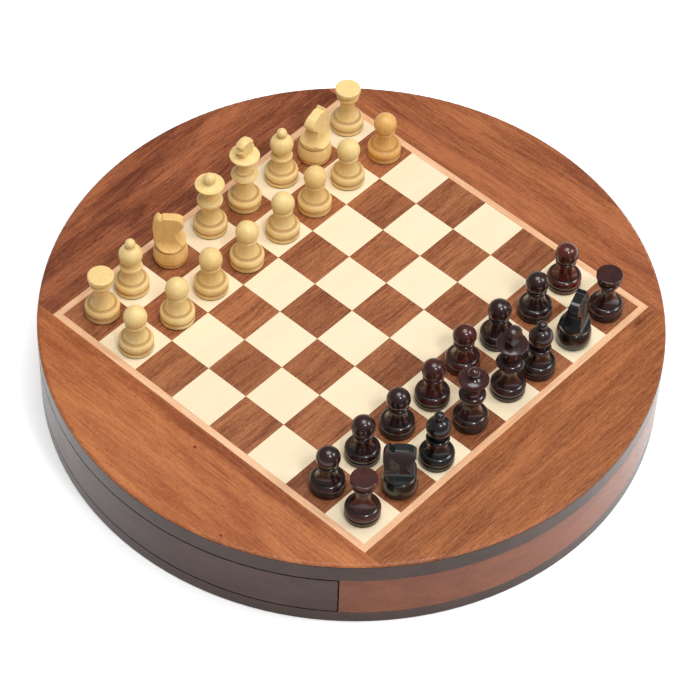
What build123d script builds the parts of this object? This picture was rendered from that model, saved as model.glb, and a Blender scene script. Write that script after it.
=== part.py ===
from build123d import *
import os
from math import atan2, sqrt, tan

# Magnetic chess set: a round wooden case with the board inlaid in its top, a drawer that
# slides out from under the board, and 32 pieces, each with a magnet and a felt under its foot.
# Millimetres, +Z up. The origin is the centre of the underside. +X runs from the white side to
# the black side, and the drawer slides out towards -Y.

# Board
SQUARES = 8              # along one side of the field
SQUARE = 24.7            # side of one square
INLAY_JOINT = 0.05       # hairline glue joint between two squares
STRIP_W = 3.5            # pale strip inlaid round the field
VENEER_T = 1.0           # squares, strips and the round surround
SHEET_T = 0.5            # steel sheet that the magnets pull on
SHEET_FIT = 0.2          # room round the sheet in its recess

# Case
CASE_D = 305.0
TOP_T = 11.0             # top disc with its veneer
SPACE_H = 25.0           # room for the drawer, between the base and the top disc
BASE_T = 8.0
TOP_EDGE_R = 1.6         # rounded upper edge
BASE_EDGE = 0.8          # chamfered lower edge

# Drawer
DRAWER_W = 197.6
FRONT_END_T = 9.0        # thickness of the curved front at its two ends
FRONT_GAP = 0.8          # dark line above and below the front
SIDE_GAP = 0.6           # between the drawer and the case cheeks
BACK_GAP = 1.0           # between the pushed-in drawer and the back block
RUN_GAP = 0.1            # under the drawer sides, which slide on the base
BACK_RIM_T = 22.4        # least wood between the back corners of the drawer space and the rim
TRAY_WALL_T = 6.0
TRAY_HEADROOM = 3.0      # above the tray walls
TRAY_FLOOR_T = 3.0
TRAY_FLOOR_LIFT = 2.0    # tray floor above the lower edge of the walls
GROOVE_DEPTH = 2.5       # groove in the walls that holds the tray floor
GROOVE_FIT = 0.1
DIVIDER_T = 4.0
DIVIDER_DROP = 3.0       # top of the divider below the tops of the walls
LINING_T = 1.0           # felt on the tray floor
LINING_FIT = 0.4

# Magnet and felt under every piece
FELT_T = 0.6
FELT_INSET = 0.2         # felt set in from the rim of the foot
MAGNET_D = 8.0
MAGNET_T = 3.0
MAGNET_FIT = 0.1         # glue room round and above the magnet

# Turned foot of every piece but the knight
FOOT_D = 17.0
PLINTH_H = 2.0           # upright rim of the foot, above the felt
GROOVE_H = 0.5
GROOVE_IN = 0.5          # how far the groove over the plinth cuts in
BEAD_H = 4.5             # rounded bead over the groove
BEAD_IN = 1.8            # how far the top of the bead lies inside the foot
BEAD_BULGE = 0.5
BELL_STEP = 0.4          # step from the bead in to the bell

# Shapes that the turner's tools leave, as a share of a half circle
HOLLOW = 0.22            # hollow sides of bells, throats and crowns
COLLAR_ROUND = 0.7

# Pawn, from the foot up
PAWN_BELL_H = 7.7
PAWN_NECK_D = 8.4
PAWN_COLLAR_D = 10.2
PAWN_COLLAR_T = 1.9
PAWN_THROAT_D = 8.4      # where the ball sits on the collar
PAWN_BALL_D = 11.6

# Rook
ROOK_BELL_H = 9.8
ROOK_WAIST_D = 7.6
ROOK_NECK_H = 3.2
ROOK_LIP_D = 10.4
ROOK_LIP_T = 1.5
ROOK_LIP_ROUND = 0.6
ROOK_LIP_STEP = 0.25
ROOK_FLARE_H = 2.7
ROOK_HEAD_D = 12.9
ROOK_RIM_H = 1.6
ROOK_EDGE_R = 0.6

# Bishop
BISHOP_BELL_H = 7.4
BISHOP_NECK_D = 9.0
BISHOP_COLLAR_D = 11.3
BISHOP_COLLAR_T = 2.2
BISHOP_THROAT_D = 6.6
BISHOP_THROAT_H = 1.7
BISHOP_BALL_D = 11.8
BISHOP_TIP_NECK_D = 3.2
BISHOP_TIP_D = 5.2

# Queen
QUEEN_BELL_H = 8.8
QUEEN_NECK_D = 8.6
QUEEN_CUP_D = 13.0
QUEEN_CUP_H = 4.4        # up to the widest part of the cup-shaped collar
QUEEN_CUP_LID_H = 1.6
QUEEN_THROAT_D = 7.8
QUEEN_THROAT_H = 5.0
QUEEN_CROWN_D = 14.3
QUEEN_CROWN_H = 3.6
QUEEN_RIM_T = 0.9
QUEEN_LID_H = 1.3        # from the rim up to the neck of the tip
QUEEN_TIP_NECK_D = 4.4
QUEEN_TIP_D = 6.1

# King
KING_BELL_H = 10.8
KING_NECK_D = 9.6
KING_CUP_D = 13.8
KING_CUP_H = 2.3
KING_CUP_LID_H = 2.1
KING_STEP_D = 9.0
KING_STEP_H = 1.4
KING_THROAT_D = 7.0
KING_THROAT_H = 7.0
KING_CROWN_D = 14.6
KING_CROWN_H = 2.2
KING_RIM_T = 1.1
KING_LID_H = 0.8         # dome over the crown
KING_FINIAL_FOOT_D = 6.4
KING_FINIAL_D = 9.8      # across the arms
KING_FINIAL_T = 4.8      # between the two flat faces
KING_ARM_H = 4.3         # from the crown's dome to the top of the arms
KING_NOTCH_H = 1.4
KING_NOTCH_IN = 1.0
KING_HEAD_H = 1.6        # from the notch to the domed end
KING_DOME_H = 2.2

# Knight. Heights are above the neck, and lengths are ahead of the axis
KNIGHT_FOOT_D = 16.2
KNIGHT_BARREL_H = 9.6    # barrel-shaped foot, above the felt
KNIGHT_BARREL_IN = 0.5   # how far the top of the barrel lies inside the foot
KNIGHT_BARREL_BULGE = 0.16
KNIGHT_GROOVE_H = 0.6
KNIGHT_GROOVE_IN = 0.6
KNIGHT_BACK = 8.1        # mane line behind the axis
KNIGHT_BACK_H = 9.0      # where the mane line is furthest back
KNIGHT_BROW_H = 19.0     # flat forehead
KNIGHT_BROW_L = 6.2      # length of the forehead
KNIGHT_EAR_L = 4.9       # length of the ear and the notch before it
KNIGHT_EAR_UP = 0.8      # tip of the ear above the forehead
KNIGHT_NOTCH_DEPTH = 1.3
KNIGHT_NOSE = 6.9        # tip of the muzzle
KNIGHT_NOSE_H = 15.6
KNIGHT_MUZZLE_H = 1.5    # height of the blunt end of the muzzle
KNIGHT_MUZZLE_ROUND = 0.25
KNIGHT_JAW_L = 3.6       # underside of the jaw, from the chin back to the throat
KNIGHT_JAW_DROP = 3.5
KNIGHT_THROAT_H = 9.0
KNIGHT_THROAT = 2.9
KNIGHT_BREAST_H = 2.5    # upright edge over the neck
KNIGHT_BREAST_HOLLOW = 0.12
KNIGHT_HEAD_T = 4.4      # thickness at the top of the head
KNIGHT_NECK_T = 8.4      # thickness where the round body ends
KNIGHT_NECK_H = 6.2
KNIGHT_SHOULDER_H = 0.8
KNIGHT_SHOULDER_HOLLOW = 0.3
KNIGHT_CUTS = 4          # slanting mane cuts on each side
KNIGHT_CUT_L = 6.6
KNIGHT_CUT_W = 0.45
KNIGHT_CUT_DEPTH = 0.45
KNIGHT_CUT_PITCH = 1.6
KNIGHT_CUT_X = -2.8      # middle of the cuts
KNIGHT_CUT_TOP_H = 11.6  # middle of the highest cut
KNIGHT_CUT_SLANT = 45    # degrees below the level, towards the chest

# Where each piece stands on its square, counted from the drawer: how far off the centre in X and in Y,
# as a share of the free room between its foot and the edge of the square
WHITE_RANK = [
    ("rook_1", 0.05, 0.52), ("bishop_1", -0.26, -0.42), ("knight_1", -0.26, 0.1), ("queen", -0.26, 0.88),
    ("king", -0.16, 0.73), ("bishop_2", 0.16, 0.88), ("knight_2", 0.62, 0.31), ("rook_2", -0.05, 0.88),
]
WHITE_PAWNS = [
    ("pawn_1", 0.62, -0.42), ("pawn_2", 1.04, 0.0), ("pawn_3", 0.62, 0.0), ("pawn_4", 0.73, 0.03),
    ("pawn_5", 0.57, 0.36), ("pawn_6", 0.42, 0.13), ("pawn_7", 0.23, 0.21), ("pawn_8", 0.52, 0.57),
]
BLACK_PAWNS = [
    ("pawn_1", 0.57, 0.08), ("pawn_2", 0.42, 0.03), ("pawn_3", 0.62, -0.36), ("pawn_4", 0.68, -0.42),
    ("pawn_5", -0.26, -0.1), ("pawn_6", 0.16, -0.42), ("pawn_7", 0.62, -0.16), ("pawn_8", 0.16, -0.31),
]
BLACK_RANK = [
    ("rook_1", 0.0, -0.05), ("knight_1", 0.52, -0.47), ("bishop_1", 0.88, -0.62), ("queen", 0.0, 0.16),
    ("king", 0.03, 0.73), ("bishop_2", 0.52, -0.57), ("knight_2", 0.62, -0.23), ("rook_2", 0.52, -0.21),
]
# Which way the knights look, in degrees from +X towards +Y
KNIGHT_HEADINGS = {"white_knight_1": 41, "white_knight_2": -77, "black_knight_1": 41, "black_knight_2": -70}

# Worked out from the sizes above
case_r = CASE_D / 2
field = SQUARES * SQUARE
border = field / 2 + STRIP_W
space_z = BASE_T + SPACE_H
top_z = space_z + TOP_T
veneer_z = top_z - VENEER_T
cheek_x = DRAWER_W / 2 + SIDE_GAP
front_back_y = FRONT_END_T - sqrt(case_r ** 2 - (DRAWER_W / 2) ** 2)
block_y = sqrt((case_r - BACK_RIM_T) ** 2 - cheek_x ** 2)
tray_end_y = block_y - BACK_GAP
tray_z = BASE_T + RUN_GAP
tray_top_z = space_z - TRAY_HEADROOM
floor_z = tray_z + TRAY_FLOOR_LIFT
well_z = floor_z + TRAY_FLOOR_T
foot_r = FOOT_D / 2
foot_room = SQUARE / 2 - foot_r
barrel_r = KNIGHT_FOOT_D / 2 - KNIGHT_BARREL_IN
neck_z = FELT_T + KNIGHT_BARREL_H + KNIGHT_GROOVE_H


def block(x0, x1, y0, y1, z0, z1):
    """A rectangular block between two corners."""
    return Pos((x0 + x1) / 2, (y0 + y1) / 2, (z0 + z1) / 2) * Box(x1 - x0, y1 - y0, z1 - z0)


def arc(start, end, bulge):
    """An arc in a flat outline. Its middle stands out to the right of the way from start to end, by bulge
    half-chords: 1 is a half circle, and a negative bulge is hollow."""
    (x0, y0), (x1, y1) = start, end
    middle = ((x0 + x1 + bulge * (y1 - y0)) / 2, (y0 + y1 - bulge * (x1 - x0)) / 2)
    return ThreePointArc(start, middle, end)


def turned(steps, z=FELT_T):
    """Turn an outline about the Z axis, up from a point of the axis. A step is (radius, rise), or
    (radius, rise, bulge) for an arc, and the last radius is 0."""
    edges = []
    here = (0, z)
    for radius, rise, *bulge in steps:
        there = (radius, here[1] + rise)
        edges.append(arc(here, there, bulge[0]) if bulge else Line(here, there))
        here = there
    edges.append(Line(here, (0, z)))
    return revolve(Plane.XZ * make_face(Wire(edges)), Axis.Z)


def ball(diameter, from_r, to_r=0.0):
    """Outline step of a ball that grows out of one neck and ends at the top, or at the next neck."""
    r = diameter / 2
    low = sqrt(r ** 2 - from_r ** 2)
    high = sqrt(r ** 2 - to_r ** 2)
    turn = atan2(high, to_r) + atan2(low, from_r)
    return (to_r, low + high, tan(turn / 4))


def dome(r, rise):
    """Outline step of a round cap from radius r up to the axis."""
    return (0, rise, tan(atan2(rise, r) / 2))


def rounded_edge(r, edge_r):
    """Outline step of a quarter round that ends a cylinder of radius r."""
    return (r - edge_r, edge_r, tan(atan2(1, 1) / 2))


def collar(diameter, thickness):
    """Outline steps of a rounded collar."""
    inner = (diameter - thickness * COLLAR_ROUND) / 2
    return [(inner, 0), (inner, thickness, COLLAR_ROUND)]


def foot_outline():
    """Outline steps of the foot: plinth, groove and bead, up to where the bell starts."""
    return [
        (foot_r, 0),
        (foot_r, PLINTH_H),
        (foot_r - GROOVE_IN, GROOVE_H),
        (foot_r - BEAD_IN, BEAD_H, BEAD_BULGE),
        (foot_r - BEAD_IN - BELL_STEP, 0),
    ]


def pawn():
    throat_r = PAWN_THROAT_D / 2
    return turned([
        *foot_outline(),
        (PAWN_NECK_D / 2, PAWN_BELL_H, -HOLLOW),
        *collar(PAWN_COLLAR_D, PAWN_COLLAR_T),
        (throat_r, 0),
        ball(PAWN_BALL_D, throat_r),
    ])


def rook():
    lip_r = ROOK_LIP_D / 2
    head_r = ROOK_HEAD_D / 2
    return turned([
        *foot_outline(),
        (ROOK_WAIST_D / 2, ROOK_BELL_H, -HOLLOW),
        (lip_r, ROOK_NECK_H, -HOLLOW),
        (lip_r, ROOK_LIP_T, ROOK_LIP_ROUND),
        (lip_r - ROOK_LIP_STEP, 0),
        (head_r, ROOK_FLARE_H, -HOLLOW),
        (head_r, ROOK_RIM_H),
        rounded_edge(head_r, ROOK_EDGE_R),
        (0, 0),
    ])


def bishop():
    throat_r = BISHOP_THROAT_D / 2
    tip_neck_r = BISHOP_TIP_NECK_D / 2
    return turned([
        *foot_outline(),
        (BISHOP_NECK_D / 2, BISHOP_BELL_H, -HOLLOW),
        *collar(BISHOP_COLLAR_D, BISHOP_COLLAR_T),
        (throat_r, 0),
        (throat_r, BISHOP_THROAT_H),
        ball(BISHOP_BALL_D, throat_r, tip_neck_r),
        ball(BISHOP_TIP_D, tip_neck_r),
    ])


def queen():
    tip_neck_r = QUEEN_TIP_NECK_D / 2
    return turned([
        *foot_outline(),
        (QUEEN_NECK_D / 2, QUEEN_BELL_H, -HOLLOW),
        (QUEEN_CUP_D / 2, QUEEN_CUP_H, HOLLOW),
        (QUEEN_THROAT_D / 2, QUEEN_CUP_LID_H, HOLLOW),
        (QUEEN_THROAT_D / 2, QUEEN_THROAT_H, -HOLLOW),
        (QUEEN_CROWN_D / 2, QUEEN_CROWN_H, -HOLLOW),
        (QUEEN_CROWN_D / 2, QUEEN_RIM_T, BEAD_BULGE),
        (tip_neck_r, QUEEN_LID_H, -HOLLOW),
        ball(QUEEN_TIP_D, tip_neck_r),
    ])


def king():
    """A turned body with a finial that is turned too and then cut flat on two sides."""
    crown_r = KING_CROWN_D / 2
    steps = [
        *foot_outline(),
        (KING_NECK_D / 2, KING_BELL_H, -HOLLOW),
        (KING_CUP_D / 2, KING_CUP_H, HOLLOW),
        (KING_STEP_D / 2, KING_CUP_LID_H, HOLLOW),
        (KING_STEP_D / 2, KING_STEP_H),
        (KING_THROAT_D / 2, 0),
        (KING_THROAT_D / 2, KING_THROAT_H, -HOLLOW / 2),
        (crown_r, KING_CROWN_H, -HOLLOW),
    ]
    crown_z = FELT_T + sum(step[1] for step in steps)
    body = turned([*steps, (crown_r, KING_RIM_T, BEAD_BULGE), dome(crown_r, KING_LID_H)])
    finial_r = KING_FINIAL_D / 2
    notch_r = finial_r - KING_NOTCH_IN
    head_r = finial_r - KING_NOTCH_IN / 2
    finial = turned([
        (KING_FINIAL_FOOT_D / 2, 0),
        (KING_FINIAL_FOOT_D / 2, KING_RIM_T + KING_LID_H),
        (finial_r, KING_ARM_H),
        (notch_r, KING_NOTCH_H / 2),
        (notch_r, KING_NOTCH_H / 2),
        (head_r, KING_HEAD_H),
        dome(head_r, KING_DOME_H),
    ], crown_z)
    flat_x = KING_FINIAL_T / 2
    flats = block(-flat_x, flat_x, -KING_FINIAL_D, KING_FINIAL_D, 0, 2 * crown_z)
    return body + (finial & flats)


def knight_side_view():
    """The carved head seen from its side: mane, ear, forehead, muzzle, jaw, throat and breast."""
    brow_z = neck_z + KNIGHT_BROW_H
    nape = (-KNIGHT_BACK, neck_z + KNIGHT_BACK_H)
    ear = (-KNIGHT_BACK + KNIGHT_EAR_L / 2, brow_z + KNIGHT_EAR_UP)
    brow_start = (-KNIGHT_BACK + KNIGHT_EAR_L, brow_z)
    notch = ((ear[0] + brow_start[0]) / 2, brow_z - KNIGHT_NOTCH_DEPTH)
    brow_end = (brow_start[0] + KNIGHT_BROW_L, brow_z)
    nose = (KNIGHT_NOSE, neck_z + KNIGHT_NOSE_H)
    chin = (KNIGHT_NOSE, nose[1] - KNIGHT_MUZZLE_H)
    jaw = (KNIGHT_NOSE - KNIGHT_JAW_L, chin[1] - KNIGHT_JAW_DROP)
    throat = (KNIGHT_THROAT, neck_z + KNIGHT_THROAT_H)
    breast = (barrel_r, neck_z + KNIGHT_BREAST_H)
    edges = [
        Line((-barrel_r, neck_z), nape),
        arc(nape, ear, -HOLLOW),
        Line(ear, notch),
        Line(notch, brow_start),
        Line(brow_start, brow_end),
        arc(brow_end, nose, -KNIGHT_MUZZLE_ROUND),
        Line(nose, chin),
        Line(chin, jaw),
        Line(jaw, throat),
        arc(throat, breast, KNIGHT_BREAST_HOLLOW),
        Line(breast, (barrel_r, neck_z)),
        Line((barrel_r, neck_z), (-barrel_r, neck_z)),
    ]
    return make_face(Wire(edges))


def knight_end_view():
    """The carved head seen from its nose: round body below, narrowing through the neck to flat sides."""
    top_z = neck_z + KNIGHT_BROW_H + KNIGHT_EAR_UP
    neck, head = KNIGHT_NECK_T / 2, KNIGHT_HEAD_T / 2
    edges = [Line((-barrel_r, neck_z), (barrel_r, neck_z)), Line((-head, top_z), (head, top_z))]
    for side in (-1, 1):
        shoulder = (side * barrel_r, neck_z + KNIGHT_SHOULDER_H)
        flank = (side * neck, neck_z + KNIGHT_NECK_H)
        edges.append(Line((side * barrel_r, neck_z), shoulder))
        edges.append(arc(shoulder, flank, -side * KNIGHT_SHOULDER_HOLLOW))
        edges.append(Line(flank, (side * head, top_z)))
    return make_face(Wire(edges))


def mane_cuts():
    """Slanting saw cuts on both sides of the neck, behind the cheek."""
    taper = (KNIGHT_NECK_T - KNIGHT_HEAD_T) / 2 / (KNIGHT_BROW_H + KNIGHT_EAR_UP - KNIGHT_NECK_H)
    cut = Rot(0, KNIGHT_CUT_SLANT, 0) * Box(KNIGHT_CUT_L, 2 * KNIGHT_CUT_DEPTH, KNIGHT_CUT_W)
    cuts = []
    for side in (-1, 1):
        for n in range(KNIGHT_CUTS):
            height = KNIGHT_CUT_TOP_H - n * KNIGHT_CUT_PITCH
            face_y = side * (KNIGHT_NECK_T / 2 - taper * (height - KNIGHT_NECK_H))
            cuts.append(Pos(KNIGHT_CUT_X, face_y, neck_z + height) * cut)
    return cuts


def knight():
    """A barrel-shaped foot and a head cut out of the same round stock from its side and from its nose."""
    groove_r = barrel_r - KNIGHT_GROOVE_IN
    foot = turned([
        (KNIGHT_FOOT_D / 2, 0),
        (barrel_r, KNIGHT_BARREL_H, KNIGHT_BARREL_BULGE),
        (groove_r, 0),
        (groove_r, KNIGHT_GROOVE_H),
        (0, 0),
    ])
    side = extrude(Plane.XZ * knight_side_view(), KNIGHT_FOOT_D, both=True)
    end = extrude(Plane.YZ * knight_end_view(), KNIGHT_FOOT_D, both=True)
    stock_r = KNIGHT_BACK + KNIGHT_BARREL_IN
    stock = turned([
        (barrel_r, 0),
        (stock_r, KNIGHT_NECK_H),
        (stock_r, KNIGHT_BROW_H),
        (0, 0),
    ], neck_z)
    return foot + (side & end & stock - mane_cuts())


def magnet_and_felt(foot_diameter):
    magnet = block_disc(MAGNET_D / 2, FELT_T, FELT_T + MAGNET_T)
    felt = block_disc(foot_diameter / 2 - FELT_INSET, 0, FELT_T)
    return magnet, felt


def block_disc(radius, z0, z1):
    return Pos(0, 0, (z0 + z1) / 2) * Cylinder(radius, z1 - z0)


KINDS = {"pawn": pawn, "rook": rook, "knight": knight, "bishop": bishop, "queen": queen, "king": king}


def whole_piece(kind):
    """Wood, magnet and felt of one kind of piece, standing on the origin."""
    wood = KINDS[kind]()
    magnet, felt = magnet_and_felt(KNIGHT_FOOT_D if kind == "knight" else FOOT_D)
    pocket = block_disc(MAGNET_D / 2 + MAGNET_FIT, FELT_T, FELT_T + MAGNET_T + MAGNET_FIT)
    return [wood - pocket, magnet, felt]


def square_centre(row, column):
    """Centre of a square: the row counts from the white side, the column from the drawer side."""
    middle = (SQUARES - 1) / 2
    return (row - middle) * SQUARE, (column - middle) * SQUARE


def field_squares(dark):
    """The 32 squares of one colour. The corner at white's side by the drawer is dark."""
    side = SQUARE - INLAY_JOINT
    squares = []
    for row in range(SQUARES):
        for column in range(SQUARES):
            if ((row + column) % 2 == 0) == dark:
                x, y = square_centre(row, column)
                squares.append(Pos(x, y, veneer_z + VENEER_T / 2) * Box(side, side, VENEER_T))
    return squares


def save(name, solids):
    """Write one named sub-part: a single solid, or a group of separate ones."""
    shape = solids[0] if len(solids) == 1 else Compound(children=solids)
    export_step(shape, f"parts/{name}.step")
    print(name, len(solids), "solid(s)")


def build_case():
    """Base, two cheeks and a back block that close the drawer space, and the top disc with its sheet."""
    disc = block_disc(case_r, BASE_T, space_z)
    save("base_disc", [turned([
        (case_r - BASE_EDGE, 0),
        (case_r, BASE_EDGE),
        (case_r, BASE_T - BASE_EDGE),
        (0, 0),
    ], 0)])
    save("cheek_white_side", [disc & block(-case_r, -cheek_x, -case_r, case_r, BASE_T, space_z)])
    save("cheek_black_side", [disc & block(cheek_x, case_r, -case_r, case_r, BASE_T, space_z)])
    save("back_block", [disc & block(-cheek_x, cheek_x, block_y, case_r, BASE_T, space_z)])
    top = turned([
        (case_r, 0),
        (case_r, TOP_T - TOP_EDGE_R),
        rounded_edge(case_r, TOP_EDGE_R),
        (0, 0),
    ], space_z)
    recess = border + SHEET_FIT
    sheet_z = veneer_z - SHEET_T
    panel = top & block(-case_r, case_r, -case_r, case_r, space_z, veneer_z)
    save("top_panel", [panel - block(-recess, recess, -recess, recess, sheet_z, veneer_z)])
    save("steel_sheet", [block(-border, border, -border, border, sheet_z, veneer_z)])
    return top


def build_veneer(top):
    """Squares, four strips and the four segments of the surround, all one veneer thick."""
    half = field / 2
    save("light_squares", field_squares(dark=False))
    save("dark_squares", field_squares(dark=True))
    save("strip_white_side", [block(-border, -half, -border, border, veneer_z, top_z)])
    save("strip_black_side", [block(half, border, -border, border, veneer_z, top_z)])
    save("strip_drawer_side", [block(-half, half, -border, -half, veneer_z, top_z)])
    save("strip_back_side", [block(-half, half, half, border, veneer_z, top_z)])
    save("surround_drawer_side", [top & block(-case_r, case_r, -case_r, -border, veneer_z, top_z)])
    save("surround_back_side", [top & block(-case_r, case_r, border, case_r, veneer_z, top_z)])
    save("surround_white_side", [top & block(-case_r, -border, -border, border, veneer_z, top_z)])
    save("surround_black_side", [top & block(border, case_r, -border, border, veneer_z, top_z)])


def build_drawer():
    """A curved front cut from the case's own disc, and a grooved tray behind it with a divider and felt."""
    half = DRAWER_W / 2
    inner = half - TRAY_WALL_T
    floor_half = inner + GROOVE_DEPTH
    back_y = tray_end_y - TRAY_WALL_T
    groove = block(
        -floor_half - GROOVE_FIT, floor_half + GROOVE_FIT,
        front_back_y - GROOVE_DEPTH - GROOVE_FIT, back_y + GROOVE_DEPTH + GROOVE_FIT,
        floor_z, well_z,
    )
    disc = block_disc(case_r, BASE_T + FRONT_GAP, space_z - FRONT_GAP)
    front = disc & block(-half, half, -case_r, front_back_y, BASE_T, space_z)
    save("drawer_front", [front - groove])
    save("drawer_side_white", [block(-half, -inner, front_back_y, tray_end_y, tray_z, tray_top_z) - groove])
    save("drawer_side_black", [block(inner, half, front_back_y, tray_end_y, tray_z, tray_top_z) - groove])
    save("drawer_back", [block(-inner, inner, back_y, tray_end_y, tray_z, tray_top_z) - groove])
    floor_y0 = front_back_y - GROOVE_DEPTH
    floor_y1 = back_y + GROOVE_DEPTH
    save("drawer_floor", [block(-floor_half, floor_half, floor_y0, floor_y1, floor_z, well_z)])
    divider = DIVIDER_T / 2
    divider_z = tray_top_z - DIVIDER_DROP
    save("drawer_divider", [block(-divider, divider, front_back_y, back_y, well_z, divider_z)])
    linings = []
    for side in (-1, 1):
        x0, x1 = sorted((side * (divider + LINING_FIT), side * (inner - LINING_FIT)))
        y0, y1 = front_back_y + LINING_FIT, back_y - LINING_FIT
        linings.append(block(x0, x1, y0, y1, well_z, well_z + LINING_T))
    save("drawer_lining", linings)


def build_pieces():
    """Both sides' pieces, each standing where it was put down on its square."""
    kinds = {kind: whole_piece(kind) for kind in KINDS}
    ranks = [
        ("white", 0, WHITE_RANK),
        ("white", 1, WHITE_PAWNS),
        ("black", SQUARES - 2, BLACK_PAWNS),
        ("black", SQUARES - 1, BLACK_RANK),
    ]
    for colour, row, places in ranks:
        for column, (label, share_x, share_y) in enumerate(places):
            name = f"{colour}_{label}"
            x, y = square_centre(row, column)
            heading = KNIGHT_HEADINGS.get(name, 0)
            place = Pos(x + share_x * foot_room, y + share_y * foot_room, top_z) * Rot(0, 0, heading)
            save(name, [place * solid for solid in kinds[label.split("_")[0]]])


os.makedirs("parts", exist_ok=True)
build_veneer(build_case())
build_drawer()
build_pieces()
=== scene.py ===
# %% [markdown]
# # A round magnetic chess set
# The real object is a round wooden case with a chess board inlaid in its top, a drawer under the
# board, and 32 pieces on felt, of which 28 are turned and the four knights are carved. The solid
# model already has every piece at its real size, so most of this lesson is about finishes: veneer,
# stained edges, lacquer, boxwood and felt. Only the knights get a new skin, with rounder edges.
# The imported model comes in first.

# %% Load the imported model
import math
import bpy
from mathutils import Matrix, Vector


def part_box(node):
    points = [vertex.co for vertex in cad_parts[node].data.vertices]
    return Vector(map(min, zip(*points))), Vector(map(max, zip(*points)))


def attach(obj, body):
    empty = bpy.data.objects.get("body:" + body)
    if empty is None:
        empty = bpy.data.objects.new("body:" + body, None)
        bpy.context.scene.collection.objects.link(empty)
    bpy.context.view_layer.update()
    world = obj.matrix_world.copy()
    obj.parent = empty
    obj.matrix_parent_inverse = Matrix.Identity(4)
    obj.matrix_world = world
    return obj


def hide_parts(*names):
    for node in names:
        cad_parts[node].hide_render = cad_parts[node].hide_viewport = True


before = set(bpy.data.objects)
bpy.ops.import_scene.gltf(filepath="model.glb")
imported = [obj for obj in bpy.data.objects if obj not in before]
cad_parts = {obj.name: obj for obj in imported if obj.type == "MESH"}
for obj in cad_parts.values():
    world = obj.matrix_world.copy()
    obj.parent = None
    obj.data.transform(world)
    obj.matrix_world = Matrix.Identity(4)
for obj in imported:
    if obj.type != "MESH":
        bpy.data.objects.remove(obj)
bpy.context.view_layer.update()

# %% [markdown]
# Turned wood has no flat spots, but the solid model comes as small flat faces. Smooth shading
# hides them, and only edges sharper than a limit stay crisp, such as the rim of a crown or the
# saw cuts of a mane. This changes how faces are shaded and moves no point of the mesh.

# %% Smooth the turned surfaces
SHARP_EDGE = math.radians(32)

for cad_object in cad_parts.values():
    cad_object.data.shade_smooth()
    cad_object.data.set_sharp_from_angle(angle=SHARP_EDGE)
print("smoothed:", len(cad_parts), "nodes")

# %% [markdown]
# The finishes need two measures, the height of the board's top and the side of a square, and both
# come from the model itself. The board's top is the top of the light squares, which reach equally
# far on both sides of the middle, and the 8 squares of a row span the field.

# %% Measure the board
MM = 0.001
SQUARES = 8
field_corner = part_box("light_squares")[1]
board_top = field_corner.z
square = 2 * field_corner.x / SQUARES
print("square:", round(square / MM, 2), "mm, board top:", round(board_top / MM, 2), "mm")

# %% [markdown]
# A material is a tree of nodes, and a few small helpers keep the rest short. One adds a node and
# fills its sockets, one starts a node group with named sockets, and one turns a colour that was
# picked on a screen into the linear values that the shader wants.

# %% Helpers for node trees
def node(tree, kind, values=(), **settings):
    """Add a node. values fills its inputs with plain values, or with links from other sockets."""
    made = tree.nodes.new(kind)
    for name, value in settings.items():
        setattr(made, name, value)
    for name, value in dict(values).items():
        if isinstance(value, bpy.types.NodeSocket):
            tree.links.new(value, made.inputs[name])
        else:
            made.inputs[name].default_value = value
    return made


def start_group(name, inputs, outputs):
    """A new shader node group, with the sockets of its input node and of its output node."""
    tree = bpy.data.node_groups.new(name, "ShaderNodeTree")
    for label, (kind, default) in inputs.items():
        socket = tree.interface.new_socket(label, in_out="INPUT", socket_type=kind)
        socket.default_value = default
    for label, kind in outputs.items():
        tree.interface.new_socket(label, in_out="OUTPUT", socket_type=kind)
    given = tree.nodes.new("NodeGroupInput").outputs
    wanted = tree.nodes.new("NodeGroupOutput").inputs
    return tree, given, wanted


def screen(red, green, blue):
    """A colour as a screen shows it, from 0 to 255, as linear values with alpha."""
    def linear(value):
        """The standard curve of screens: straight near black, and a power of 2.4 above."""
        value /= 255
        return value / 12.92 if value <= 0.04045 else ((value + 0.055) / 1.055) ** 2.4
    return (linear(red), linear(green), linear(blue), 1.0)


FLOAT, VECTOR, COLOR = "NodeSocketFloat", "NodeSocketVector", "NodeSocketColor"
POINT = (VECTOR, (0.0, 0.0, 0.0))

# %% [markdown]
# The other helpers each add one kind of node that comes up again and again: a sum, a product, a
# blend of two colours or a noise. A noise seldom leaves the middle of its range, so spread
# stretches that middle, and swing does the same evenly round zero. A noise with another frequency
# along each axis turns blotches into streaks, which is how wood gets its grain.

# %% Helpers for sums, blends and noises
MIX_SHARE, MIX_FIRST, MIX_SECOND, MIX_RESULT = 0, 6, 7, 2   # sockets of a Mix node for colours


def maths(tree, operation, first, second=0.0):
    return node(tree, "ShaderNodeMath", {0: first, 1: second}, operation=operation).outputs[0]


def add(tree, first, second):
    return maths(tree, "ADD", first, second)


def multiply(tree, first, second):
    return maths(tree, "MULTIPLY", first, second)


def vector_maths(tree, operation, first, second=(0.0, 0.0, 0.0)):
    return node(tree, "ShaderNodeVectorMath", {0: first, 1: second}, operation=operation).outputs[0]


def blend(tree, share, first, second, mode="MIX"):
    made = node(tree, "ShaderNodeMix", {MIX_SHARE: share, MIX_FIRST: first, MIX_SECOND: second},
                data_type="RGBA", blend_type=mode)
    return made.outputs[MIX_RESULT]


def spread(tree, value, low, high, new_low=0.0, new_high=1.0):
    """Stretch the middle of a noise to the full range that is wanted."""
    return node(tree, "ShaderNodeMapRange", {
        "Value": value, "From Min": low, "From Max": high,
        "To Min": new_low, "To Max": new_high}).outputs["Result"]


def swing(tree, value, low, high, most, amount):
    """Stretch the middle of a noise evenly round zero, up to most, and multiply it by an amount."""
    return multiply(tree, spread(tree, value, low, high, -most, most), amount)


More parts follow.
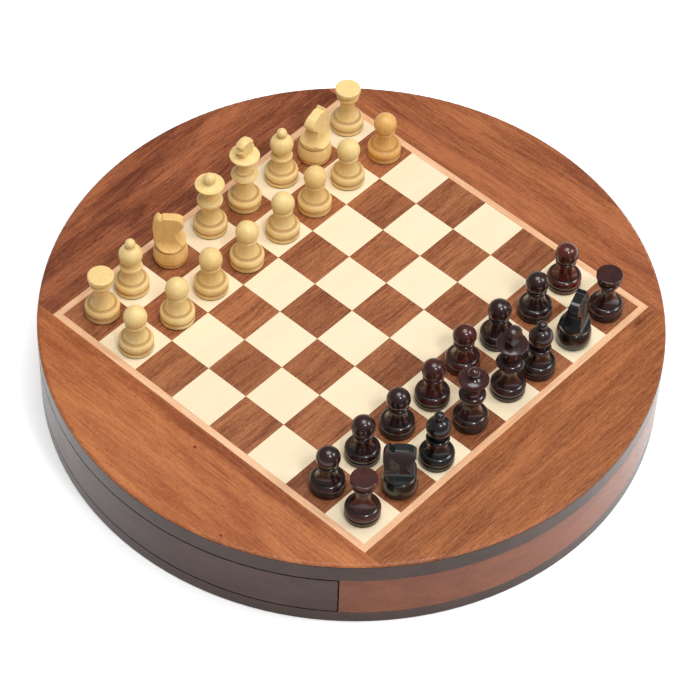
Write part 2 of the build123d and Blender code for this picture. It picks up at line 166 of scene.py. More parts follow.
def noise(tree, vector, scale, detail=2.0, roughness=0.5, distortion=0.0):
    return node(tree, "ShaderNodeTexNoise", {
        "Vector": vector, "Scale": scale, "Detail": detail,
        "Roughness": roughness, "Distortion": distortion}).outputs["Fac"]


def stretched_noise(tree, vector, stretch, detail=2.0, roughness=0.5, distortion=0.0):
    """A noise whose frequency along each axis is given by stretch."""
    stretched = vector_maths(tree, "MULTIPLY", vector, stretch)
    return noise(tree, stretched, 1.0, detail, roughness, distortion)

# %% [markdown]
# Wood is the finish of nearly everything here, so it is one node group. Its grain runs along X.
# A noise stretched along the fibres gives broad streaks, a finer one gives the year lines, and a
# very fine one, cut off so that only its darkest spots are left, gives the open pores. Because
# the noise fills space, a face cut across the fibres shows end grain without more work.
# The group works in millimetres, so its numbers say how often a streak, a line or a pore comes in
# one millimetre, first along the grain and then in the two directions across it.

# %% The wood group
STREAK = (0.011, 0.075, 0.075)     # broad streaks, about 13 mm wide and 90 mm long
YEAR_LINE = (0.05, 0.95, 0.95)     # year lines, about 1 mm apart
PORE = (0.3, 1.9, 1.9)             # pores, about 0.5 mm wide and 3 mm long
FIBRE = (0.5, 4.0, 4.0)            # bundles of fibres, about as fine as the eye can part
WOOD_STEP = (31.7, 57.3, 83.9)     # how far one seed moves the noises, in millimetres
MIDDLE_TONE = 0.5                  # the tone that streaks, lines and fibres swing round
PORE_SHADE = 0.75                  # how strongly the dark tone dims a pore
FIBRE_HEIGHT = 0.25                # how high the fibres stand, as a share of a pore's depth

wood_tree, given, wanted = start_group("wood", {
    "Vector": POINT, "Seed": (FLOAT, 0.0), "Pale": (COLOR, (1, 1, 1, 1)), "Dark": (COLOR, (0, 0, 0, 1)),
    "Streaks": (FLOAT, 0.5), "Lines": (FLOAT, 0.5), "Pores": (FLOAT, 0.5)},
    {"Color": COLOR, "Height": FLOAT})
in_mm = vector_maths(wood_tree, "MULTIPLY", given["Vector"], (1 / MM,) * 3)
shift = vector_maths(wood_tree, "MULTIPLY", WOOD_STEP, given["Seed"])
place = vector_maths(wood_tree, "ADD", in_mm, shift)
streak = stretched_noise(wood_tree, place, STREAK, detail=3.0, roughness=0.55, distortion=0.6)
line = stretched_noise(wood_tree, place, YEAR_LINE, detail=4.0, roughness=0.6, distortion=0.9)
pore = stretched_noise(wood_tree, place, PORE, detail=2.0, distortion=0.2)
fibre = stretched_noise(wood_tree, place, FIBRE, detail=1.0)
streak_share = swing(wood_tree, streak, 0.36, 0.66, 0.5, given["Streaks"])
line_share = swing(wood_tree, line, 0.34, 0.68, 0.5, given["Lines"])
fibre_share = swing(wood_tree, fibre, 0.3, 0.7, 0.35, given["Lines"])
tone = add(wood_tree, add(wood_tree, streak_share, line_share), fibre_share)
tone = node(wood_tree, "ShaderNodeMath", {0: tone, 1: MIDDLE_TONE},
            operation="ADD", use_clamp=True).outputs[0]
body = blend(wood_tree, tone, given["Dark"], given["Pale"])
open_pore = multiply(wood_tree, spread(wood_tree, pore, 0.4, 0.29), given["Pores"])
dimmed = blend(wood_tree, PORE_SHADE, body, given["Dark"], "MULTIPLY")
wood_tree.links.new(blend(wood_tree, open_pore, body, dimmed), wanted["Color"])
height = maths(wood_tree, "SUBTRACT", multiply(wood_tree, fibre, FIBRE_HEIGHT), open_pore)
wood_tree.links.new(height, wanted["Height"])
print("group:", wood_tree.name, "with", len(wood_tree.nodes), "nodes")

# %% [markdown]
# Lacquer is never even. Fingers and dust leave dull patches of a few centimetres, and the film
# follows the wood a little. One group gives every lacquered piece its roughness.

# %% The lacquer group
PATCH_SCALE = 38.0                 # dull patches, about 26 mm across
DUST_SCALE = 2200.0                # specks of dust, about 0.5 mm across
RIPPLE_SCALE = 260.0               # ripples in the film, about 4 mm across
DUST_HEIGHT = 0.3                  # how far a speck stands out, as a share of a ripple's height
LACQUER_STEP = (0.61, 0.23, 0.47)  # how far one seed moves the noises, in metres

lacquer_tree, given, wanted = start_group("lacquer", {
    "Vector": POINT, "Seed": (FLOAT, 0.0), "Gloss": (FLOAT, 0.3), "Uneven": (FLOAT, 0.1)},
    {"Roughness": FLOAT, "Height": FLOAT})
shift = vector_maths(lacquer_tree, "MULTIPLY", LACQUER_STEP, given["Seed"])
place = vector_maths(lacquer_tree, "ADD", given["Vector"], shift)
patch = noise(lacquer_tree, place, PATCH_SCALE, detail=4.0, roughness=0.6)
dust = spread(lacquer_tree, noise(lacquer_tree, place, DUST_SCALE, detail=1.0), 0.62, 0.75)
rough = add(lacquer_tree, swing(lacquer_tree, patch, 0.35, 0.65, 0.5, given["Uneven"]),
            multiply(lacquer_tree, dust, given["Uneven"]))
lacquer_tree.links.new(add(lacquer_tree, rough, given["Gloss"]), wanted["Roughness"])
ripple = noise(lacquer_tree, place, RIPPLE_SCALE, detail=2.0)
height = add(lacquer_tree, ripple, multiply(lacquer_tree, dust, DUST_HEIGHT))
lacquer_tree.links.new(height, wanted["Height"])
print("group:", lacquer_tree.name, "with", len(lacquer_tree.nodes), "nodes")

# %% [markdown]
# Every material starts alike: it gets a shader, asks where a point lies on the model, and turns
# that point so that X runs along its own grain. A height becomes a bump of a real depth. Where a
# clear coat is alike all over a surface, its numbers go on the shader's own sockets.

# %% Helpers for materials
def use_group(tree, group, values):
    return node(tree, "ShaderNodeGroup", values, node_tree=group).outputs


def new_material(name):
    made = bpy.data.materials.new(name)
    made.use_nodes = True
    tree = made.node_tree
    return made, tree, tree.nodes["Principled BSDF"]


def own_point(tree):
    return node(tree, "ShaderNodeTexCoord").outputs["Object"]


def turn(tree, vector, angle):
    """Turn a point about Z, so that a grain at that angle comes to lie along X."""
    turned = node(tree, "ShaderNodeVectorRotate", {"Vector": vector, "Angle": -angle},
                  rotation_type="Z_AXIS")
    return turned.outputs[0]


def relief(tree, shader, height, depth):
    """Feed a height, as a share of depth in metres, to the shader as a bump."""
    bump = node(tree, "ShaderNodeBump", {"Height": height, "Strength": 1.0, "Distance": depth})
    tree.links.new(bump.outputs["Normal"], shader.inputs["Normal"])


def varnish(shader, coat, coat_roughness, specular):
    shader.inputs["Coat Weight"].default_value = coat
    shader.inputs["Coat Roughness"].default_value = coat_roughness
    shader.inputs["Specular IOR Level"].default_value = specular


def finish_node(name, material):
    """Put a material on every slot of one node of the model."""
    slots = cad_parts[name].material_slots
    for slot in slots:
        slot.material = material
    if not slots:
        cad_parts[name].data.materials.append(material)

# %% [markdown]
# One function now makes any lacquered wood. It asks the two groups for colour, roughness and
# relief and hands them to the shader. A thin clear coat over a duller base is what real varnished
# veneer does to light. Knots and mineral streaks sit in a few places only, so they are dimmed
# ovals with a ragged edge, each at its own point of the board.

# %% A material for lacquered wood
VENEER_RELIEF = 0.02 * MM          # depth of pores and ripples
KNOT_EDGE_SCALE = 420.0            # raggedness of a knot's edge, about 2 mm fine
VENEER_COAT = 0.06
VENEER_COAT_ROUGHNESS = 0.2
VENEER_SPECULAR = 0.25


def knot(tree, point, grain, colour, dark, centre, reach, strength):
    """A small dark knot or mineral streak, longer along the grain than across it."""
    away = vector_maths(tree, "SUBTRACT", point, (*centre, board_top))
    away = turn(tree, away, grain)
    away = vector_maths(tree, "DIVIDE", away, (*reach, 1.0))
    ragged = noise(tree, point, KNOT_EDGE_SCALE, detail=3.0, roughness=0.6)
    rough_edge = spread(tree, ragged, 0.3, 0.7, -0.35, 0.35)
    far = node(tree, "ShaderNodeVectorMath", {0: away}, operation="LENGTH").outputs["Value"]
    inside = spread(tree, add(tree, far, rough_edge), 1.1, 0.2, 0.0, strength)
    return blend(tree, inside, colour, blend(tree, 1.0, colour, dark, "MULTIPLY"))


def lacquered_wood(name, pale, dark, grain, seed, streaks, lines, pores, gloss=0.4, uneven=0.12,
                   coat=VENEER_COAT, coat_roughness=VENEER_COAT_ROUGHNESS,
                   specular=VENEER_SPECULAR, darken=()):
    """Wood under a clear coat. grain is its angle from X, and darken lists (centre, reach, strength)."""
    made, tree, shader = new_material(name)
    point = own_point(tree)
    grain_point = turn(tree, point, grain)
    wood = use_group(tree, wood_tree, {
        "Vector": grain_point, "Seed": seed, "Pale": pale, "Dark": dark,
        "Streaks": streaks, "Lines": lines, "Pores": pores})
    lacquer = use_group(tree, lacquer_tree, {
        "Vector": point, "Seed": seed, "Gloss": gloss, "Uneven": uneven})
    colour = wood["Color"]
    for centre, reach, strength in darken:
        colour = knot(tree, point, grain, colour, dark, centre, reach, strength)
    tree.links.new(colour, shader.inputs["Base Color"])
    tree.links.new(lacquer["Roughness"], shader.inputs["Roughness"])
    relief(tree, shader, add(tree, wood["Height"], lacquer["Height"]), VENEER_RELIEF)
    varnish(shader, coat, coat_roughness, specular)
    return made

# %% [markdown]
# The surround is four pieces of red-brown veneer. On the real board the grain of each follows
# the side of the field that it borders, so two run one way and two the other. The colours differ
# a little from piece to piece, and the piece by the drawer is the lightest.

# %% Surround veneer
RIGHT_ANGLE = math.radians(90)

# Centre on the board, half length and half width, and strength of each dark spot.
DRAWER_KNOT = ((4.0 * MM, -112.4 * MM), (1.3 * MM, 0.9 * MM), 0.95)
RIM_KNOT = ((48.3 * MM, -140.5 * MM), (1.3 * MM, 0.8 * MM), 0.9)
DRAWER_STREAK = ((-5.0 * MM, -105.5 * MM), (95.0 * MM, 5.0 * MM), 0.45)
BLACK_STREAK = ((105.5 * MM, 92.0 * MM), (9.0 * MM, 1.6 * MM), 0.7)

surround = {
    "surround_drawer_side": lacquered_wood(
        "surround_drawer_side", screen(204, 128, 77), screen(148, 78, 42), grain=0.0, seed=3.0,
        streaks=0.5, lines=0.6, pores=0.6, darken=[DRAWER_KNOT, RIM_KNOT, DRAWER_STREAK]),
    "surround_back_side": lacquered_wood(
        "surround_back_side", screen(184, 112, 70), screen(124, 64, 38), grain=0.0, seed=8.0,
        streaks=0.6, lines=0.7, pores=0.6),
    "surround_white_side": lacquered_wood(
        "surround_white_side", screen(176, 104, 66), screen(104, 50, 30), grain=RIGHT_ANGLE,
        seed=14.0, streaks=0.8, lines=0.65, pores=0.7),
    "surround_black_side": lacquered_wood(
        "surround_black_side", screen(182, 112, 66), screen(122, 64, 34), grain=RIGHT_ANGLE,
        seed=21.0, streaks=0.5, lines=0.7, pores=0.7, darken=[BLACK_STREAK]),
}
for name, material in surround.items():
    finish_node(name, material)
print("surround pieces:", len(surround))

# %% [markdown]
# A pale strip of another wood frames the field. It is cut along the grain, so its lines run the
# length of each strip, and it is too narrow to show much figure.

# %% Strips round the field
STRIP_SEED = 30.0
STRIP_GRAIN = {"strip_white_side": RIGHT_ANGLE, "strip_black_side": RIGHT_ANGLE,
               "strip_drawer_side": 0.0, "strip_back_side": 0.0}

for name, grain in STRIP_GRAIN.items():
    finish_node(name, lacquered_wood(
        name, screen(248, 205, 166), screen(224, 168, 124), grain=grain, seed=STRIP_SEED + grain,
        streaks=0.5, lines=0.6, pores=0.25))
print("strips:", len(STRIP_GRAIN))

# %% [markdown]
# Each square is cut from a different place in a sheet of veneer. The tile group finds out which
# square a point lies in, draws a random number for it, and shifts the grain by that, so that no
# line runs on from one square into the next. The same draw makes a square lighter or darker.

# %% The tile group
TILE_JUMP = (0.9, 0.7, 0.5)        # the most that a square's grain is shifted, in metres

tile_tree, given, wanted = start_group(
    "tile", {"Vector": POINT, "Pitch": (FLOAT, 1.0)}, {"Vector": VECTOR, "Tone": FLOAT})
pitch = node(tile_tree, "ShaderNodeCombineXYZ", {0: given["Pitch"], 1: given["Pitch"], 2: 1.0}).outputs[0]
cell = vector_maths(tile_tree, "FLOOR", vector_maths(tile_tree, "DIVIDE", given["Vector"], pitch))
draw = node(tile_tree, "ShaderNodeTexWhiteNoise", {"Vector": cell}, noise_dimensions="3D").outputs
jump = vector_maths(tile_tree, "MULTIPLY", draw["Color"], TILE_JUMP)
tile_tree.links.new(vector_maths(tile_tree, "ADD", given["Vector"], jump), wanted["Vector"])
tile_tree.links.new(draw["Value"], wanted["Tone"])
print("group:", tile_tree.name, "with", len(tile_tree.nodes), "nodes")

# %% [markdown]
# The squares lie with their grain along Y, as on the real board. The light ones are nearly plain,
# and the dark ones differ from each other about as much as boards of one tree do.

# %% Veneer squares
SQUARE_GLOSS = 0.36
SQUARE_UNEVEN = 0.12


def square_veneer(name, pale, dark, low_tone, streaks, lines, pores, seed):
    """Veneer squares with their grain along Y. The darkest square is dimmed to low_tone."""
    made, tree, shader = new_material(name)
    point = own_point(tree)
    tile = use_group(tree, tile_tree, {"Vector": point, "Pitch": square})
    grain_point = turn(tree, tile["Vector"], RIGHT_ANGLE)
    wood = use_group(tree, wood_tree, {
        "Vector": grain_point, "Seed": seed, "Pale": pale, "Dark": dark,
        "Streaks": streaks, "Lines": lines, "Pores": pores})
    lacquer = use_group(tree, lacquer_tree, {
        "Vector": point, "Seed": seed, "Gloss": SQUARE_GLOSS, "Uneven": SQUARE_UNEVEN})
    dim = spread(tree, tile["Tone"], 0.0, 1.0, low_tone, 1.0)
    grey = node(tree, "ShaderNodeCombineColor", {0: dim, 1: dim, 2: dim}).outputs[0]
    tree.links.new(blend(tree, 1.0, wood["Color"], grey, "MULTIPLY"), shader.inputs["Base Color"])
    tree.links.new(lacquer["Roughness"], shader.inputs["Roughness"])
    relief(tree, shader, add(tree, wood["Height"], lacquer["Height"]), VENEER_RELIEF)
    varnish(shader, VENEER_COAT, VENEER_COAT_ROUGHNESS, VENEER_SPECULAR)
    return made


finish_node("light_squares", square_veneer(
    "light_squares", screen(252, 236, 203), screen(246, 224, 188), low_tone=0.97,
    streaks=0.4, lines=0.3, pores=0.08, seed=41.0))
finish_node("dark_squares", square_veneer(
    "dark_squares", screen(194, 125, 81), screen(128, 70, 43), low_tone=0.8,
    streaks=0.5, lines=0.8, pores=0.6, seed=47.0))
print("squares finished:", SQUARES * SQUARES)

# %% [markdown]
# The rim is solid wood under gloss lacquer. The edges of the top disc and of the base are stained
# dark, the fixed blocks between them are left orange-brown, and the drawer front comes from a
# darker, purplish board.

# %% The rim of the case
RIM_FINISH = {"streaks": 0.5, "lines": 0.3, "pores": 0.15, "gloss": 0.26, "uneven": 0.06,
              "coat": 0.14, "coat_roughness": 0.12, "specular": 0.18}
BLOCK_TONES = (screen(168, 92, 50), screen(112, 56, 30))

edge_wood = lacquered_wood(
    "case_edge", screen(88, 58, 46), screen(50, 33, 27), grain=0.0, seed=55.0, **RIM_FINISH)
cheek_wood = lacquered_wood("cheek_wood", *BLOCK_TONES, grain=RIGHT_ANGLE, seed=60.0, **RIM_FINISH)
back_wood = lacquered_wood("back_block", *BLOCK_TONES, grain=0.0, seed=62.0, **RIM_FINISH)
front_wood = lacquered_wood(
    "drawer_front", screen(98, 62, 54), screen(60, 38, 36), grain=0.0, seed=66.0, **RIM_FINISH)
rim = {"base_disc": edge_wood, "top_panel": edge_wood, "cheek_white_side": cheek_wood,
       "cheek_black_side": cheek_wood, "back_block": back_wood, "drawer_front": front_wood}
for name, material in rim.items():
    finish_node(name, material)
print("rim pieces:", len(rim))

# %% [markdown]
# Inside the drawer the wood is plain and only planed, with no coat, and the tray floor has a felt
# lining. Felt is a mat of fine hairs, so its colour and its relief both come from noise at the
# scale of the hairs, and sheen lightens it where it is seen at a slant.

# %% Drawer inside and felt
TRAY_TONES = (screen(206, 152, 104), screen(160, 104, 64))
PLANED = {"streaks": 0.6, "lines": 0.6, "pores": 0.6, "gloss": 0.62, "uneven": 0.12, "coat": 0.0}
HAIR_SCALE = 5200.0                # hairs, about 0.2 mm across
CLUMP_SCALE = 700.0                # clumps of hairs, about 1.4 mm across
FELT_ROUGHNESS = 0.95
FELT_RELIEF_MM = 0.12


def felt_parts(tree, point):
    """Colour and height of dark-green felt."""
    hair = noise(tree, point, HAIR_SCALE, detail=3.0, roughness=0.7)
    clump = noise(tree, point, CLUMP_SCALE, detail=2.0)
    height = add(tree, hair, clump)
    shade = spread(tree, height, 0.7, 1.3)
    return blend(tree, shade, screen(10, 40, 28), screen(34, 86, 62)), height


def felt():
    made, tree, shader = new_material("green_felt")
    colour, height = felt_parts(tree, own_point(tree))
    tree.links.new(colour, shader.inputs["Base Color"])
    relief(tree, shader, height, FELT_RELIEF_MM * MM)
    shader.inputs["Roughness"].default_value = FELT_ROUGHNESS
    shader.inputs["Sheen Weight"].default_value = 0.4
    shader.inputs["Sheen Roughness"].default_value = 0.5
    return made


tray_wood = lacquered_wood("tray_wood", *TRAY_TONES, grain=0.0, seed=71.0, **PLANED)
side_wood = lacquered_wood("tray_side_wood", *TRAY_TONES, grain=RIGHT_ANGLE, seed=74.0, **PLANED)
inside = {"drawer_back": tray_wood, "drawer_floor": tray_wood, "drawer_side_white": side_wood,
          "drawer_side_black": side_wood, "drawer_divider": side_wood, "drawer_lining": felt()}
for name, material in inside.items():
    finish_node(name, material)
print("drawer pieces:", len(inside))

# %% [markdown]
# A thin steel sheet lies hidden under the squares, where the magnets pull on it. Rolling leaves
# very fine lines in such a sheet, all one way, so one noise stretched far along X gives its tone,
# its roughness and its relief.

# %% Sheet steel
ROLLING = (40.0, 6000.0, 40.0)     # rolling lines, about 0.2 mm wide and 25 mm long
ROLLING_RELIEF = 0.01 * MM


def rolled_steel():
    made, tree, shader = new_material("sheet_steel")
    lines = stretched_noise(tree, own_point(tree), ROLLING, detail=2.0)
    colour = blend(tree, lines, screen(150, 152, 155), screen(190, 192, 195))
    tree.links.new(colour, shader.inputs["Base Color"])
    tree.links.new(spread(tree, lines, 0.3, 0.7, 0.3, 0.45), shader.inputs["Roughness"])
    relief(tree, shader, lines, ROLLING_RELIEF)
    shader.inputs["Metallic"].default_value = 1.0
    return made


finish_node("steel_sheet", rolled_steel())
print("steel sheet finished")

# %% [markdown]
# The pieces are turned on a lathe from straight-grained wood, so the grain runs up each piece and
# the tool leaves very fine rings round it. One group gives both, from a point measured from the
# piece's own axis and from the board. It also marks the felt under the foot, and the two creases
# over the foot, which the pieces darken as painted shade.

# %% The turned-piece group
FELT_T = 0.6 * MM
FELT_EDGE = (0.98 * FELT_T, 0.94 * FELT_T)   # levels between which wood changes to felt
GROOVE_Z = 2.85 * MM               # middle of the groove over the plinth
BEAD_TOP_Z = 7.6 * MM              # step where the bead of the foot meets the bell
KNIGHT_SEAM_Z = 10.5 * MM          # groove between a knight's foot and its carved head
CREASE_SHADE_REACH = 0.55 * MM           # the painted shade of a crease is darkest in its core and fades out at its reach
CREASE_SHADE_CORE = 0.2 * MM
RING_PITCH = 0.35 * MM
UP_GRAIN = (700.0, 700.0, 60.0)    # fibres, about 1.4 mm wide and 17 mm long
FIGURE = (140.0, 140.0, 30.0)      # broader streaks, about 7 mm wide and 33 mm long
PIECE_STEP = (0.13, 0.29, 0.41)    # how far one seed moves the noises, in metres
GRAIN_HEIGHT = 0.8                 # how far the fibres stand out, beside rings of at most 0.35

turned_tree, given, wanted = start_group("turned_piece", {
    "Vector": POINT, "Seed": (FLOAT, 0.0), "Seam": (FLOAT, BEAD_TOP_Z)},
    {"Grain": FLOAT, "Height": FLOAT, "Felt": FLOAT, "Crease Shade": FLOAT})
shift = vector_maths(turned_tree, "MULTIPLY", PIECE_STEP, given["Seed"])
place = vector_maths(turned_tree, "ADD", given["Vector"], shift)
up_grain = stretched_noise(turned_tree, place, UP_GRAIN, detail=4.0, roughness=0.6, distortion=0.5)
figure = stretched_noise(turned_tree, place, FIGURE, detail=3.0, roughness=0.6)
grain = add(turned_tree, multiply(turned_tree, up_grain, 0.5), multiply(turned_tree, figure, 0.5))
turned_tree.links.new(grain, wanted["Grain"])
level = node(turned_tree, "ShaderNodeSeparateXYZ", {0: given["Vector"]}).outputs[2]
ring = maths(turned_tree, "SINE", multiply(turned_tree, level, 2 * math.pi / RING_PITCH))
ring = multiply(turned_tree, ring, spread(turned_tree, figure, 0.35, 0.65, 0.05, 0.35))
height = add(turned_tree, ring, multiply(turned_tree, up_grain, GRAIN_HEIGHT))
turned_tree.links.new(height, wanted["Height"])
turned_tree.links.new(spread(turned_tree, level, *FELT_EDGE), wanted["Felt"])
# The creases over the foot and at the knight's seam are masked here for painted shade.
from_groove = maths(turned_tree, "ABSOLUTE", maths(turned_tree, "SUBTRACT", level, GROOVE_Z))
from_seam = maths(turned_tree, "ABSOLUTE", maths(turned_tree, "SUBTRACT", level, given["Seam"]))
nearest = maths(turned_tree, "MINIMUM", from_groove, from_seam)
turned_tree.links.new(spread(turned_tree, nearest, CREASE_SHADE_REACH, CREASE_SHADE_CORE), wanted["Crease Shade"])
print("group:", turned_tree.name, "with", len(turned_tree.nodes), "nodes")

# %% [markdown]
# A piece's material is measured from its own axis and from the board. Below the felt's edge it is
# felt, in the creases painted shade makes it darker, and everywhere else it is wood under lacquer.
# The clear coat ends where the felt begins, so its strength is worked out from the same mask.
# The three reliefs are added up in millimetres, each with its own depth.

# %% A material for a piece
CREASE_SHADE_SHARE = 0.7                 # how far the painted shade takes a crease towards its dark colour
RING_RELIEF_MM = 0.02
FILM_RELIEF_MM = 0.05
PIECE_UNEVEN = 0.1
PIECE_SPECULAR = 0.3


def piece_wood(name, centre, seed, pale, dark, crease_shade, gloss, coat, coat_roughness):
    made, tree, shader = new_material(name)
    point = vector_maths(tree, "SUBTRACT", own_point(tree), (*centre, board_top))
    seam = KNIGHT_SEAM_Z if "knight" in name else BEAD_TOP_Z
    piece = use_group(tree, turned_tree, {"Vector": point, "Seed": seed, "Seam": seam})
    wood = blend(tree, spread(tree, piece["Grain"], 0.36, 0.62), dark, pale)
    # Painted shade: the creases are blended towards the darker crease colour.
    wood = blend(tree, multiply(tree, piece["Crease Shade"], CREASE_SHADE_SHARE), wood, crease_shade)
    felt_colour, felt_height = felt_parts(tree, point)
    lacquer = use_group(tree, lacquer_tree, {
        "Vector": point, "Seed": seed, "Gloss": gloss, "Uneven": PIECE_UNEVEN})
    tree.links.new(blend(tree, piece["Felt"], wood, felt_colour), shader.inputs["Base Color"])
    felt_rough = multiply(tree, piece["Felt"], FELT_ROUGHNESS)
    tree.links.new(maths(tree, "MAXIMUM", lacquer["Roughness"], felt_rough), shader.inputs["Roughness"])
    bare = multiply(tree, maths(tree, "SUBTRACT", 1.0, piece["Felt"]), coat)
    tree.links.new(bare, shader.inputs["Coat Weight"])
    height = add(tree, multiply(tree, piece["Height"], RING_RELIEF_MM),
                 multiply(tree, lacquer["Height"], FILM_RELIEF_MM))
    felt_height = multiply(tree, multiply(tree, felt_height, piece["Felt"]), FELT_RELIEF_MM)
    relief(tree, shader, add(tree, height, felt_height), MM)
    shader.inputs["Coat Roughness"].default_value = coat_roughness
    shader.inputs["Specular IOR Level"].default_value = PIECE_SPECULAR
    return made

# %% [markdown]
# The white side is boxwood, pale yellow with a soft shine. The black side is stained nearly black
# under gloss lacquer, and on some pieces the red wood shows through. Each piece gets its own
# material, because its grain is measured from its own axis and no two have one tone. A share says
# how far a piece goes from the plain tones to the warm ones: 0 is plain, 1 is warm, and a little
# more than 1 goes past it.

# %% Piece materials
PIECES = [*(f"pawn_{n + 1}" for n in range(SQUARES)),
          "rook_1", "knight_1", "bishop_1", "queen", "king", "bishop_2", "knight_2", "rook_2"]
ORANGE_SHARES = {"knight_1": 0.6, "pawn_8": 1.0, "pawn_6": 0.25, "pawn_3": 0.2, "rook_1": 0.2}
RED_SHARES = {"pawn_5": 0.9, "pawn_8": 1.2, "rook_1": 0.7, "rook_2": 0.5, "pawn_4": 0.6,
              "queen": 0.5, "knight_1": 0.0, "knight_2": 0.0, "bishop_1": 0.05, "king": 0.4}

# Each tone is a pale and a dark colour, which the grain goes between.
SIDES = {
    "white": {
        "plain": (screen(248, 220, 154), screen(240, 204, 134)),
        "warm": (screen(238, 188, 112), screen(222, 164, 90)),
        "shares": ORANGE_SHARES, "usual_share": 0.0, "first_seed": 1.0,
        # The crease colour is painted shade for the creases over the foot, darker than the boxwood.
        "finish": {"crease_shade": screen(172, 120, 62), "gloss": 0.42, "coat": 0.2,
                   "coat_roughness": 0.24}},
    "black": {
        "plain": (screen(16, 17, 19), screen(9, 10, 12)),
        "warm": (screen(92, 30, 18), screen(46, 15, 11)),
        "shares": RED_SHARES, "usual_share": 0.3, "first_seed": 20.0,
        # The crease colour is painted shade for the creases over the foot, near black.
        "finish": {"crease_shade": screen(10, 7, 7), "gloss": 0.32, "coat": 0.7,
                   "coat_roughness": 0.1}},
}


def between(first, second, share):
    return tuple(a + (b - a) * share for a, b in zip(first, second))


for number, kind in enumerate(PIECES):
    for side, look in SIDES.items():
        name = f"{side}_{kind}"
        low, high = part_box(name)
        centre = ((low.x + high.x) / 2, (low.y + high.y) / 2)
        share = look["shares"].get(kind, look["usual_share"])
        pale, dark = (between(plain, warm, share) for plain, warm in zip(look["plain"], look["warm"]))
        seed = number + look["first_seed"]
        finish_node(name, piece_wood(name, centre, seed, pale, dark, **look["finish"]))
print("piece materials:", len(SIDES) * len(PIECES))

# %% [markdown]
# The heads of the knights are carved by hand and then sanded and lacquered, so none of their edges
# is sharp. Bevels on such a form leave knots where many edges meet. Filling the form with small
# cubes and smoothing the new skin rounds every edge alike, as sanding does, so a copy of each
# knight is made that way, and it stands for the sharp one. The foot is made the same way, and
# smoothing leaves its flat faces flat.

# %% Carved knights
CARVE_GRAIN = 0.22 * MM            # side of the small cubes
SANDING = 6                        # rounds of smoothing
SANDING_STRENGTH = 0.5

for name in [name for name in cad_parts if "knight" in name]:
    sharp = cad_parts[name]
    carved = sharp.copy()
    carved.data = sharp.data.copy()
    carved.name = f"{name}_carved"
    carved.parent = None
    bpy.context.scene.collection.objects.link(carved)
    grains = carved.modifiers.new("grains", "REMESH")
    grains.mode = "VOXEL"
    grains.voxel_size = CARVE_GRAIN
    grains.use_smooth_shade = True
    sanding = carved.modifiers.new("sanding", "SMOOTH")
    sanding.factor = SANDING_STRENGTH
    sanding.iterations = SANDING
    bpy.context.view_layer.update()
    evaluated = carved.evaluated_get(bpy.context.evaluated_depsgraph_get())
    skin = bpy.data.meshes.new_from_object(evaluated)
    carved.modifiers.clear()
    carved.data = skin
    skin.materials.clear()
    skin.materials.append(sharp.material_slots[0].material)
    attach(carved, name)
    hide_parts(name)
    print(name, "carved:", len(skin.polygons), "faces")

# %% [markdown]
# The set stands on a plain white floor. The floor's diffuse part takes the soft shadow, and a
# little light that only the camera and reflections see lifts it to white without lighting the
# set. From above, the floor fills the view, so the world can stay a plain grey room. A white one
# would veil the black lacquer, which shows whatever lies above it.

# %% Floor and world
FLOOR_SIZE = 8.0
FLOOR_COLOR = (0.9, 0.9, 0.9, 1.0)
FLOOR_LIFT = 0.5
WORLD_LIGHT = 0.27

bpy.ops.mesh.primitive_plane_add(size=FLOOR_SIZE)
floor = bpy.context.object
floor.name = "floor"
floor_material, tree, shader = new_material("floor")
shader.inputs["Base Color"].default_value = FLOOR_COLOR
shader.inputs["Roughness"].default_value = 0.9
shader.inputs["Specular IOR Level"].default_value = 0.1
path = node(tree, "ShaderNodeLightPath").outputs
seen = maths(tree, "MAXIMUM", path["Is Camera Ray"], path["Is Glossy Ray"])
seen = maths(tree, "MAXIMUM", seen, path["Is Transmission Ray"])
lift = multiply(tree, seen, FLOOR_LIFT)
glow = node(tree, "ShaderNodeEmission", {"Color": (1, 1, 1, 1), "Strength": lift})
both = node(tree, "ShaderNodeAddShader", {0: shader.outputs[0], 1: glow.outputs[0]})
tree.links.new(both.outputs[0], tree.nodes["Material Output"].inputs["Surface"])
floor.data.materials.append(floor_material)

world = bpy.data.worlds.new("studio")
world.use_nodes = True
bpy.context.scene.world = world
background = world.node_tree.nodes["Background"]
background.inputs["Strength"].default_value = WORLD_LIGHT
background.inputs["Color"].default_value = (1.0, 1.0, 1.0, 1.0)
print("floor:", FLOOR_SIZE, "m wide, world light:", WORLD_LIGHT)

# %% [markdown]
# The camera looks at the board from a corner and from above. Its place, roll and lens were worked
# out from the grid of the board, whose squares are all alike and so fix the view exactly. Azimuth
# is its turn about the board from the drawer's side, and elevation its height as an angle.

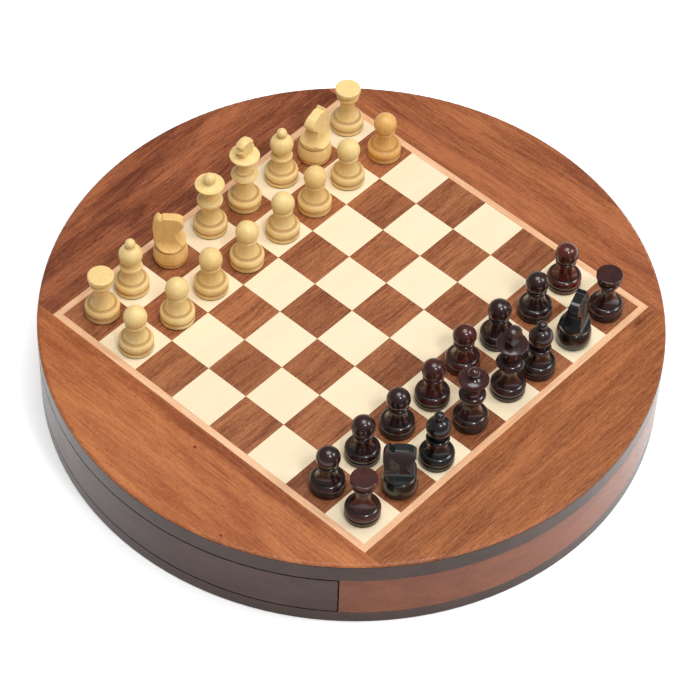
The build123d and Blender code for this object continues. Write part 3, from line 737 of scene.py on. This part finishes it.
# %% Camera
CAMERA_AZIMUTH = math.radians(40.9375)
CAMERA_ELEVATION = math.radians(50.2252)
CAMERA_ROLL = math.radians(2.3344)
CAMERA_PLACE = (0.61296, -0.70702, 1.13820)
CAMERA_LENS = 152.565
CAMERA_SENSOR = 36.0

back = Vector((math.sin(CAMERA_AZIMUTH) * math.cos(CAMERA_ELEVATION),
               -math.cos(CAMERA_AZIMUTH) * math.cos(CAMERA_ELEVATION), math.sin(CAMERA_ELEVATION)))
right = Vector((math.cos(CAMERA_AZIMUTH), math.sin(CAMERA_AZIMUTH), 0.0))
up = back.cross(right)
rolled_right = right * math.cos(CAMERA_ROLL) + up * math.sin(CAMERA_ROLL)
rolled_up = up * math.cos(CAMERA_ROLL) - right * math.sin(CAMERA_ROLL)
camera_data = bpy.data.cameras.new("camera")
camera_data.lens = CAMERA_LENS
camera_data.sensor_width = CAMERA_SENSOR
camera = bpy.data.objects.new("camera", camera_data)
bpy.context.scene.collection.objects.link(camera)
axes = Matrix((rolled_right, rolled_up, back)).transposed().to_4x4()
camera.matrix_world = Matrix.Translation(CAMERA_PLACE) @ axes
bpy.context.scene.camera = camera
print("camera:", round(Vector(CAMERA_PLACE).length, 3), "m from the middle of the underside")

# %% [markdown]
# Three soft lamps light the set. A wide one overhead does most of the work, one from the right
# throws the soft shadows to the left, and a small one near the camera puts the crisp spots on
# the lacquer of the black pieces.

# %% Lamps
AIM = Vector((0.0, 0.0, board_top))


def lamp(name, place, size, power):
    """A round lamp at a place measured from the middle of the board, aimed at it."""
    light = bpy.data.lights.new(name, "AREA")
    light.shape = "DISK"
    light.size = size
    light.energy = power
    holder = bpy.data.objects.new(name, light)
    bpy.context.scene.collection.objects.link(holder)
    holder.location = AIM + place
    holder.rotation_euler = (-place).to_track_quat("-Z", "Y").to_euler()
    print("lamp:", name, round(place.length, 2), "m away,", power, "W")


lamp("overhead", Vector((0.0, 0.1, 1.5)), size=0.9, power=12.5)
lamp("from_right", right * 1.2 + Vector((0.0, 0.0, 1.1)), size=0.6, power=7.5)
lamp("near_camera", back * 1.5 + right * 0.45 + up * 0.3, size=0.22, power=5.5)

bpy.context.scene.view_settings.view_transform = "Standard"
